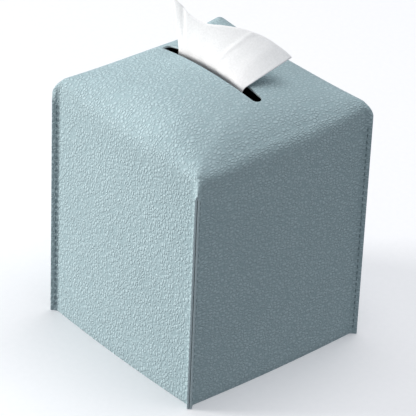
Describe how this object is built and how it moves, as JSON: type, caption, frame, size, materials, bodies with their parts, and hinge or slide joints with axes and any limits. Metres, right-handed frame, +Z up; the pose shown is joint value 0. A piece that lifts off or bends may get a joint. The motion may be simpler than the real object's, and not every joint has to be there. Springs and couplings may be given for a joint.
{
  "type": "tissue box cover",
  "caption": "Soft leather cover for a cube tissue box: stiffened walls with outward corner seams, a crowned top with a slot, and a hook-and-loop belt across the open bottom.",
  "frame": {"origin": "middle of the hem, on the surface that the cover stands on", "axes": "+Z up, X along the slot in the top, -Y the wall that the picture shows on the left and +X the wall that it shows on the right"},
  "size_m": [0.1282, 0.1282, 0.1925],
  "materials": {
    "cover_leather": "pebbled grain, soft satin",
    "lining_fabric": "matt non-woven",
    "wall_board": "grey board",
    "sewing_thread": "twisted polyester",
    "hook_tape": "nylon hooks",
    "loop_tape": "brushed nylon loops",
    "tissue_paper": "soft matt tissue"
  },
  "bodies": {
    "cover": {"leather_shell": "cover_leather", "lining": "lining_fabric", "front_wall_board": "wall_board", "right_wall_board": "wall_board", "back_wall_board": "wall_board", "left_wall_board": "wall_board", "front_left_seam_thread": "sewing_thread", "front_right_seam_thread": "sewing_thread", "back_left_seam_thread": "sewing_thread", "back_right_seam_thread": "sewing_thread", "strap_sewn_end": "cover_leather", "strap_sewn_end_stitching": "sewing_thread", "tab_sewn_end": "cover_leather", "tab_sewn_end_stitching": "sewing_thread"},
    "strap": {"belt_strap": "cover_leather", "belt_strap_backing": "lining_fabric", "hook_patch": "hook_tape", "hook_patch_stitching": "sewing_thread"},
    "tab": {"belt_tab": "cover_leather", "belt_tab_backing": "lining_fabric", "loop_patch": "loop_tape", "loop_patch_stitching": "sewing_thread"},
    "tissue": {"tissue_sheet": "tissue_paper"}
  },
  "joints": [
    {"name": "strap_swing", "type": "hinge", "parent": "cover", "child": "strap", "pos_m": [0, -0.0562, 0.0024], "axis": [-1, 0, 0], "range_deg": [0, 100]},
    {"name": "tab_swing", "type": "hinge", "parent": "cover", "child": "tab", "pos_m": [0, 0.0562, 0.0065], "axis": [-1, 0, 0], "range_deg": [0, 75]},
    {"name": "tissue_pull", "type": "slide", "parent": "cover", "child": "tissue", "axis": [0, 0, 1], "range_m": [0, 0.1]}
  ]
}
